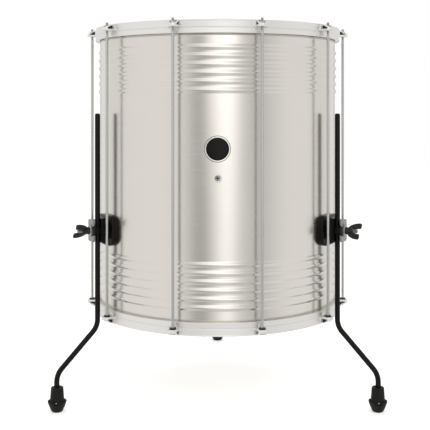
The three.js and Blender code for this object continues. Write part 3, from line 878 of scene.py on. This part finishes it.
class SURDO_OT_legs(bpy.types.Operator):
    """Bends the legs and moulds the feet"""

    bl_idname = "surdo.legs"
    bl_label = "Legs and feet"

    def execute(self, context):
        leg, foot = make_leg(), make_foot()
        # A small chrome knob on each foot, turned toward the camera whatever the leg's azimuth, is a
        # painted glint on the boot's front
        glint_pin = turned([(0, 10.4), (2.2, 10.4), (2.2, 12.6), (1.7, 13.3), (0.9, 13.6), (0, 13.7)], 20)
        lay_outward(glint_pin)
        looks = finishes()
        for side, azimuth in LEGS.items():
            body = "leg_" + side
            piece = stand(copy_of(leg), azimuth)
            dress(piece, "bent_leg_" + side, looks["paint"], "black_paint", body, "leg_" + side)
            turn = math.radians(azimuth)
            spot = {"x": FOOT_RADIUS * math.sin(turn), "y": AXIS_Y / MM - FOOT_RADIUS * math.cos(turn)}
            piece = place(copy_of(foot), **spot)
            dress(piece, "rubber_foot_" + side, looks["rubber"], "foot_rubber", body, "foot_" + side)
            piece = place(copy_of(glint_pin), z=FOOT_GLINT_HEIGHT, **spot)
            dress(piece, "foot_glint_pin_" + side, looks["chrome"], "zinc", body)
        discard(leg, foot, glint_pin)
        return {"FINISHED"}


# Leg brackets


def bent_pad(width, height, corner, thickness, edge, radius):
    """A pad with rounded corners and a rounded outer edge, bent round the shell"""
    pad = slab(width, height, corner, -4, thickness)
    round_edges(pad, edge, 4, 40)
    bisect(pad, (0, 0, 0), (0, -1, 0), use_fill=True, clear_inner=True)
    # Narrow strips, so that the pad bends in an even curve
    for x in range(-36, 37, 4):
        bisect(pad, (x, 0, 0), (1, 0, 0))
    return wrap(pad, radius)


class SURDO_OT_brackets(bpy.types.Operator):
    """Casts the leg brackets and cuts their gaskets"""

    bl_idname = "surdo.brackets"
    bl_label = "Leg brackets"

    def execute(self, context):
        base = bent_pad(82, 60, 19, 8.5, 2.4, BASE_INNER)
        gasket = bent_pad(81, 59, 18.5, 1.5, 0.3, GASKET_INNER)
        # The block falls away from the base to the leg, above and below
        end = LEG_RADIUS - 3
        profile = [(255, 28), (262, 26.8), (end, 23), (end, -23), (262, -26.8), (255, -28)]
        body = side_prism(profile, 30)
        round_edges(body, 1.6, 4, 40)
        cut(
            body,
            bar(LEG_HALF + 0.3, -40, 40, at=(0, -LEG_RADIUS), vertices=40),
            block(
                (-WINDOW_HALF_WIDTH, -280, -WINDOW_HALF_HEIGHT),
                (WINDOW_HALF_WIDTH, 10.4 - LEG_RADIUS, WINDOW_HALF_HEIGHT),
            ),
        )
        bracket = joined([base, body])
        looks = finishes()
        for side, azimuth in LEGS.items():
            for form, prefix, node, look, slot, angle in (
                (bracket, "cast_", "leg_bracket_", "casting", "black_paint", 38),
                (gasket, "cut_", "bracket_gasket_", "rubber", "foot_rubber", 30),
            ):
                piece = stand(copy_of(form), azimuth, CLAMP_HEIGHT)
                node += side
                dress(piece, prefix + node, looks[look], slot, "drum", node, angle=angle)
            for node in ("backing_plate_", "stud_nut_"):
                repaint(node + side, looks["zinc"])
        discard(bracket, gasket)
        return {"FINISHED"}


# Clamps


def make_stud():
    """The stud with threads at its outer end, and the eye that goes round the leg"""
    near, far = LEG_RADIUS - LEG_HALF - 1.3, LEG_RADIUS + LEG_HALF + 0.3
    eye = block((-9.05, -far - 3.5, -7), (9.05, 3.5 - near, 7))
    round_edges(eye, 2.4, 4, 40)
    cut(eye, block((-5.55, -far, -12), (5.55, -near, 12)))
    round_edges(eye, 0.5, 2, 40)
    outline = [(0, 236.1), (3.4, 236.1), (4, 236.8), (4, near - 2), (0, near - 2)]
    inner = turned(outline, 24)
    thread_start = WING_FOOT + 8
    outline = [(0, far + 2), (4, far + 2), (4, thread_start)]
    outline += thread(thread_start, STUD_END - 1.9, 1.25, (3.95, 0.35), (3.45, 0.95))
    outline += [(3.7, STUD_END - 0.9), (3, STUD_END - 0.2), (2, STUD_END), (0, STUD_END)]
    outer = turned(outline, 24)
    return joined([lay_outward(inner), lay_outward(outer)]), eye


def make_plate():
    """The cast clamp plate, with a rib on its back that presses on the leg, and its black nylon piece,
    which is partly painted shadow across the plate's middle
    """
    plate = slab(26, 44, 4, PLATE_INNER, PLATE_OUTER)
    rib = block((-4.5, -PLATE_INNER - 2, -22), (4.5, -LEG_RADIUS - LEG_HALF - 0.3, 22))
    combine(plate, "UNION", rib)
    window = block(
        (-WINDOW_HALF_WIDTH, -300, -WINDOW_HALF_HEIGHT), (WINDOW_HALF_WIDTH, -270, WINDOW_HALF_HEIGHT)
    )
    # The notch and the black piece in it fall away outwards at the top, following a shadow across the
    # plate: partly a nylon piece, partly painted shadow
    near, far = PLATE_INNER - 6, PLATE_OUTER + 1
    notch = [(near, 12.5), (PLATE_INNER, 11.6), (far, 7), (far, -9), (near, -9)]
    cut(plate, window, side_prism(notch, 40))
    near, far = PLATE_INNER - 0.3, PLATE_OUTER - 0.2
    saddle_and_shadow = side_prism([(near, 11.4), (far, 7.5), (far, -8.7), (near, -8.7)], 25.4)
    cut(saddle_and_shadow, place(bar(4.4, 270, 300), turn=(90, 0, 0)))
    return round_edges(plate, 0.9, 4, 40), round_edges(saddle_and_shadow, 0.5, 3, 40)


def make_wing_nut():
    """A wing nut moulded in one piece, its wings drawn up and down"""
    outline = [
        (STUD_HOLE, 0), (7.2, 0), (7.5, 0.5), (7.5, 3), (7, 3.8), (6.8, 8), (6.5, 12),
        (6.3, 14.6), (5.6, 15.7), (4.6, 16), (STUD_HOLE, 15.4),
    ]
    hub = turned_ring(raised(outline, WING_FOOT), 36)
    lay_outward(hub)
    outline = [
        (3.4, 4.8), (4.6, 8), (7.6, 11.6), (12, 14.6), (17.4, 17), (23, 18.2), (28.4, 18.4),
        (30.1, 17.4), (30.4, 12), (29.9, 8), (28.6, 6.9), (24, 6.4), (19, 5.6), (15.4, 4.4),
    ]
    wing = side_prism([(WING_FOOT + along, up) for along, up in outline], 5)
    round_edges(wing, 1.2, 4, 40)
    # A shallow thumb dish on both faces of the wing
    for side in (-1, 1):
        deselect()
        bpy.ops.mesh.primitive_uv_sphere_add(
            segments=24,
            ring_count=12,
            radius=1,
            location=(side * 3.1 * MM, -(WING_FOOT + 20.4) * MM, 13 * MM),
            scale=(1.4 * MM, 7.5 * MM, 3.6 * MM),
        )
        cut(wing, settle())
    other = place(copy_of(wing), turn=(0, 180, 0))
    return joined([hub, wing, other])


class SURDO_OT_clamps(bpy.types.Operator):
    """Makes the clamp studs, plates, washers and wing nuts"""

    bl_idname = "surdo.clamps"
    bl_label = "Clamps"

    def execute(self, context):
        (stud, eye), (plate, saddle_and_shadow), wing = make_stud(), make_plate(), make_wing_nut()
        # The washer and the collar on it, as (radius, how far out from the washer's inner face). The
        # collar is finished brighter than the washer, as a painted highlight on the washer's edge
        washer_outline = [
            (STUD_HOLE, 0), (12.2, 0), (12.5, 0.2), (12.5, 0.6), (12.1, 0.8), (STUD_HOLE, 0.8),
        ]
        collar_outline = [
            (STUD_HOLE, 0.7), (7.7, 0.7), (7.9, 0.9), (7.9, 1.6),
            (7.7, 1.8), (4.6, 1.8), (STUD_HOLE, 1.5),
        ]
        washer, collar = (
            lay_outward(turned_ring(raised(outline, WASHER_INNER), steps))
            for outline, steps in ((washer_outline, 48), (collar_outline, 40))
        )
        looks = finishes()
        for side, azimuth in LEGS.items():
            clamp, wing_body = "clamp_" + side, "wing_" + side
            turned_wing = place(copy_of(wing), turn=(0, WING_REST[side], 0))
            for piece, name, look, slot, body, node in (
                (copy_of(stud), "threaded_", "zinc", "zinc", "drum", "clamp_stud_"),
                (copy_of(eye), "eye_of_", "casting", "black_paint", "drum", "clamp_stud_"),
                (copy_of(plate), "cast_", "plate", "plated_steel", clamp, "clamp_plate_"),
                (copy_of(saddle_and_shadow), "saddle_and_shadow_of_", "nylon", "black_plastic", clamp, "clamp_plate_"),
                (copy_of(washer), "stamped_", "plate", "plated_steel", clamp, "washer_"),
                # The collar's bright finish is a painted highlight on the washer's edge
                (copy_of(collar), "collar_highlight_of_", "hoop", "plated_steel", clamp, "washer_"),
                (turned_wing, "moulded_", "nylon", "black_plastic", wing_body, "wing_nut_"),
            ):
                stand(piece, azimuth, CLAMP_HEIGHT)
                dress(piece, name + node + side, looks[look], slot, body, node + side, angle=38)
        discard(stud, eye, plate, saddle_and_shadow, washer, collar, wing)
        return {"FINISHED"}


# Stage

# The camera as fitted to the photograph: its distance from the drum's axis and its height in
# metres, its focal length and shift in the picture's pixels, and its sensor in millimetres
CAMERA_DISTANCE = 1.9015
CAMERA_HEIGHT = 0.601
FRAME_PIXELS = 430
FOCAL_PIXELS = 882
SHIFT_PIXELS = (-2.5, -110)
SENSOR_WIDTH = 36

# The side of the floor in metres
FLOOR_SIZE = 30

# Strengths of the even light from all round, and of what lifts the floor to white for the camera
EVEN_LIGHT = 0.62
FLOOR_LIFT = 0.44

WHITE = (1, 1, 1, 1)


def curve(tree, value, points):
    """A smooth grey level through (value, level) points, where 1 is white and more is brighter"""
    low, high = points[0][0], points[-1][0]
    limits = {"Value": value, "From Min": low, "From Max": high}
    share = add_node(tree, "ShaderNodeMapRange", inputs=limits)
    node = add_node(tree, "ShaderNodeValToRGB", inputs={"Fac": share.outputs["Result"]})
    ramp = node.color_ramp
    ramp.interpolation = "EASE"
    while len(ramp.elements) < len(points):
        ramp.elements.new(0.5)
    for element, (at, level) in zip(ramp.elements, points):
        element.position = (at - low) / (high - low)
        element.color = (level, level, level, 1)
    return node.outputs["Color"]


def overlay(tree, light, level, *areas):
    """Puts a level over a light, as far as all the areas say with values from 0 to 1"""
    share = areas[0]
    for area in areas[1:]:
        factors = {0: share, 1: area}
        share = add_node(tree, "ShaderNodeMath", {"operation": "MULTIPLY"}, factors).outputs[0]
    colours = {"Factor": share, "A": light, "B": level}
    return add_node(tree, "ShaderNodeMix", {"data_type": "RGBA"}, colours).outputs["Result"]


def studio_world(scene):
    """Soft white walls, and in front a bright panel beside a dark gap, which the metal mirrors"""
    world = bpy.data.worlds.new("studio")
    scene.world = world
    world.use_nodes = True
    tree = world.node_tree
    tree.nodes.clear()
    where = add_node(tree, "ShaderNodeTexCoord").outputs["Generated"]
    parts = add_node(tree, "ShaderNodeSeparateXYZ", inputs={"Vector": where})
    x, y, height = (parts.outputs[axis] for axis in "XYZ")
    # The azimuth in degrees from the front, seen from the drum
    minus_y = add_node(tree, "ShaderNodeMath", {"operation": "MULTIPLY"}, {0: y, 1: -1.0}).outputs[0]
    radians = add_node(tree, "ShaderNodeMath", {"operation": "ARCTAN2"}, {0: x, 1: minus_y}).outputs[0]
    factors = {0: radians, 1: 180 / math.pi}
    azimuth = add_node(tree, "ShaderNodeMath", {"operation": "MULTIPLY"}, factors).outputs[0]
    wall = curve(
        tree,
        azimuth,
        [
            (-180, 0.86), (-150, 0.95), (-120, 0.86), (-92, 0.95), (-60, 0.97), (-34, 0.93),
            (-27, 0.76), (-20, 0.46), (-13, 0.38), (-7, 0.6), (-1, 0.95), (5, 1.36), (11, 1.45),
            (16, 1.05), (21, 0.76), (28, 0.74), (35, 0.64), (42, 0.62), (48, 0.74), (54, 0.83),
            (70, 0.94), (92, 0.94), (120, 0.84), (150, 0.92), (180, 0.86),
        ],
    )
    # The panel grows wider upwards, from well below the horizon to just above it
    glow = curve(tree, azimuth, [(-16, 0), (-4, 0.8), (5, 1), (16, 1), (24, 0)])
    rise = curve(tree, height, [(-0.16, 0), (-0.05, 0.25), (0.06, 0.8), (0.12, 1)])
    # Over the camera the ceiling is bright, and the floor before it is dimmer
    near = curve(tree, azimuth, [(-36, 0), (-26, 1), (24, 1), (34, 0)])
    up = curve(tree, height, [(0.12, 0), (0.36, 1)])
    ceiling = curve(
        tree,
        azimuth,
        [(-28, 0.62), (-20, 1.0), (-13, 1.3), (-4, 1.5), (13, 1.5), (20, 0.95), (27, 0.62)],
    )
    down = curve(tree, height, [(-0.45, 1), (-0.22, 0)])
    ground = curve(
        tree,
        azimuth,
        [(-30, 0.62), (-16, 0.44), (-2, 0.78), (5, 1.0), (11, 1.08), (18, 0.76), (27, 0.62)],
    )
    # Straight below the drum the floor is evenly light
    straight_down = curve(tree, height, [(-0.97, 1), (-0.8, 0)])
    panel_level, floor_level = ((level, level, level, 1) for level in (1.85, 0.84))
    mirror = wall
    for level, *areas in (
        (panel_level, glow, rise),
        (ceiling, near, up),
        (ground, near, down),
        (floor_level, straight_down),
    ):
        mirror = overlay(tree, mirror, level, *areas)
    mirrored, even, white = (
        add_node(tree, "ShaderNodeBackground", inputs={"Color": colour, "Strength": strength})
        for colour, strength in ((mirror, 1.0), (WHITE, EVEN_LIGHT), (WHITE, 1.0))
    )
    path = add_node(tree, "ShaderNodeLightPath")
    light = even.outputs[0]
    for ray, background in (("Is Glossy Ray", mirrored), ("Is Camera Ray", white)):
        inputs = {0: path.outputs[ray], 1: light, 2: background.outputs[0]}
        light = add_node(tree, "ShaderNodeMixShader", inputs=inputs).outputs[0]
    add_node(tree, "ShaderNodeOutputWorld", inputs={"Surface": light})


def floor_material(colour):
    """Matt white floor that keeps the shadows and otherwise shows as white to the camera"""
    material = bpy.data.materials.new("studio_floor")
    material.use_nodes = True
    tree = material.node_tree
    tree.nodes.clear()
    path = add_node(tree, "ShaderNodeLightPath")
    matt = add_node(tree, "ShaderNodeBsdfDiffuse", inputs={"Color": linear(colour)})
    factors = {0: path.outputs["Is Camera Ray"], 1: FLOOR_LIFT}
    lift = add_node(tree, "ShaderNodeMath", {"operation": "MULTIPLY"}, factors).outputs[0]
    glow = add_node(tree, "ShaderNodeEmission", inputs={"Color": WHITE, "Strength": lift})
    both = add_node(tree, "ShaderNodeAddShader", inputs={0: matt.outputs[0], 1: glow.outputs[0]})
    add_node(tree, "ShaderNodeOutputMaterial", inputs={"Surface": both.outputs[0]})
    return material


class SURDO_OT_stage(bpy.types.Operator):
    """Lays the floor, hangs the lamps and sets the camera at the photograph's place"""

    bl_idname = "surdo.stage"
    bl_label = "Stage"

    def execute(self, context):
        scene = context.scene
        deselect()
        bpy.ops.mesh.primitive_plane_add(size=FLOOR_SIZE)
        floor = context.object
        floor.name = "studio_floor"
        floor.data.materials.append(floor_material(scene.surdo_colours.floor))
        floor.visible_glossy = False
        # Each lamp's power in watts, its side in metres, its place, and the height it is aimed at
        for name, power, side, spot, aim_height in (
            ("key_panel", 26, 2.2, (1.5, -2.6, 2.6), 0.4),
            ("fill_panel", 14, 2.6, (-2.4, -1.8, 1.8), 0.4),
            ("top_panel", 36, 2.4, (0, 1.0, 3.2), 0.0),
        ):
            bpy.ops.object.light_add(type="AREA", location=spot)
            lamp = context.object
            lamp.name = name
            lamp.data.energy = power
            lamp.data.size = side
            aim = Vector((0, AXIS_Y, aim_height)) - Vector(spot)
            lamp.rotation_euler = aim.to_track_quat("-Z", "Y").to_euler()
            lamp.visible_glossy = False
        studio_world(scene)
        spot = (0, AXIS_Y - CAMERA_DISTANCE, CAMERA_HEIGHT)
        bpy.ops.object.camera_add(location=spot, rotation=(math.radians(90), 0, 0))
        camera = context.object
        camera.data.sensor_width = SENSOR_WIDTH
        camera.data.lens = SENSOR_WIDTH * FOCAL_PIXELS / FRAME_PIXELS
        camera.data.shift_x, camera.data.shift_y = (pixels / FRAME_PIXELS for pixels in SHIFT_PIXELS)
        scene.camera = camera
        scene.view_settings.view_transform = "Standard"
        return {"FINISHED"}


class SURDO_PT_panel(bpy.types.Panel):
    """Lists the drum's pieces in the sidebar"""

    bl_label = "Surdo"
    bl_idname = "SURDO_PT_panel"
    bl_space_type = "VIEW_3D"
    bl_region_type = "UI"
    bl_category = "Surdo"

    def draw(self, context):
        layout = self.layout
        for group in (context.scene.surdo_sizes, context.scene.surdo_colours):
            for name in group.__annotations__:
                layout.prop(group, name)
        for operator in OPERATORS:
            layout.operator(operator.bl_idname)


OPERATORS = (
    SURDO_OT_shell,
    SURDO_OT_heads,
    SURDO_OT_counterhoops,
    SURDO_OT_tension_rods,
    SURDO_OT_badge_and_vent,
    SURDO_OT_legs,
    SURDO_OT_brackets,
    SURDO_OT_clamps,
    SURDO_OT_stage,
)
CLASSES = (SurdoSizes, SurdoColours, *OPERATORS, SURDO_PT_panel)


def register():
    for cls in CLASSES:
        bpy.utils.register_class(cls)
    bpy.types.Scene.surdo_sizes = bpy.props.PointerProperty(type=SurdoSizes)
    bpy.types.Scene.surdo_colours = bpy.props.PointerProperty(type=SurdoColours)


def unregister():
    del bpy.types.Scene.surdo_colours
    del bpy.types.Scene.surdo_sizes
    for cls in reversed(CLASSES):
        bpy.utils.unregister_class(cls)


def main():
    register()
    for operator in OPERATORS:
        group, name = operator.bl_idname.split(".")
        getattr(getattr(bpy.ops, group), name)()


if __name__ == "__main__":
    main()
